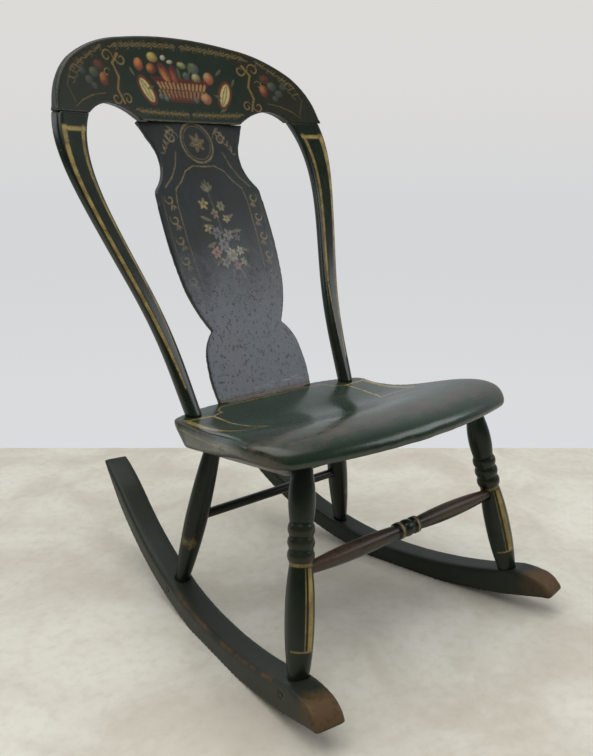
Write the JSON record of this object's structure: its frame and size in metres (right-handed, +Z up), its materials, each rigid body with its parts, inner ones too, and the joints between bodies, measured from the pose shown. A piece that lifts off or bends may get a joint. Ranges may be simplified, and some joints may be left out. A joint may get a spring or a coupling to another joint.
{
  "type": "rocking chair",
  "caption": "Small armless rocking chair with a wide curved crest rail, a shaped splat, bowed posts, a rolled plank seat, turned legs and curved rockers.",
  "frame": {"origin": "on the floor, midway between the rockers, in the flat stretch on which they rest", "axes": "+Z up, +X towards the sitter's left, -Y towards the front of the chair"},
  "size_m": [0.4932, 0.6323, 0.821],
  "materials": {
    "crest_paint": "aged satin varnish over dark olive green paint with painted fruit and scrolls",
    "post_paint": "aged satin varnish over bottle green paint, gold striping",
    "splat_paint": "worn varnish over bottle green paint, painted flowers and scrolls",
    "seat_paint": "satin varnish over bottle green paint, gold striping, brown wear",
    "front_leg_paint": "aged satin varnish over near-black green paint, gold striping",
    "rear_leg_paint": "aged satin varnish over near-black green paint",
    "front_stretcher_paint": "near-black green paint worn through to red-brown",
    "rear_stretcher_paint": "aged satin varnish over near-black green paint",
    "rocker_paint": "satin near-black green paint, red-brown wear on the noses",
    "bare_wood": "bare hardwood",
    "pin_wood": "hardwood pin, painted over at its end"
  },
  "bodies": {
    "root": {"crest_rail": "crest_paint", "back_post_left": "post_paint", "back_post_right": "post_paint", "splat": "splat_paint", "seat_plank": "seat_paint", "front_leg_left": "front_leg_paint", "front_leg_right": "front_leg_paint", "rear_leg_left": "rear_leg_paint", "rear_leg_right": "rear_leg_paint", "front_stretcher": "front_stretcher_paint", "rear_stretcher": "rear_stretcher_paint", "rocker_left": "rocker_paint", "rocker_right": "rocker_paint", "crest_dowel_left": "bare_wood", "crest_dowel_right": "bare_wood", "rocker_pin_front_left": "pin_wood", "rocker_pin_front_right": "pin_wood", "rocker_pin_rear_left": "pin_wood", "rocker_pin_rear_right": "pin_wood"}
  },
  "joints": []
}
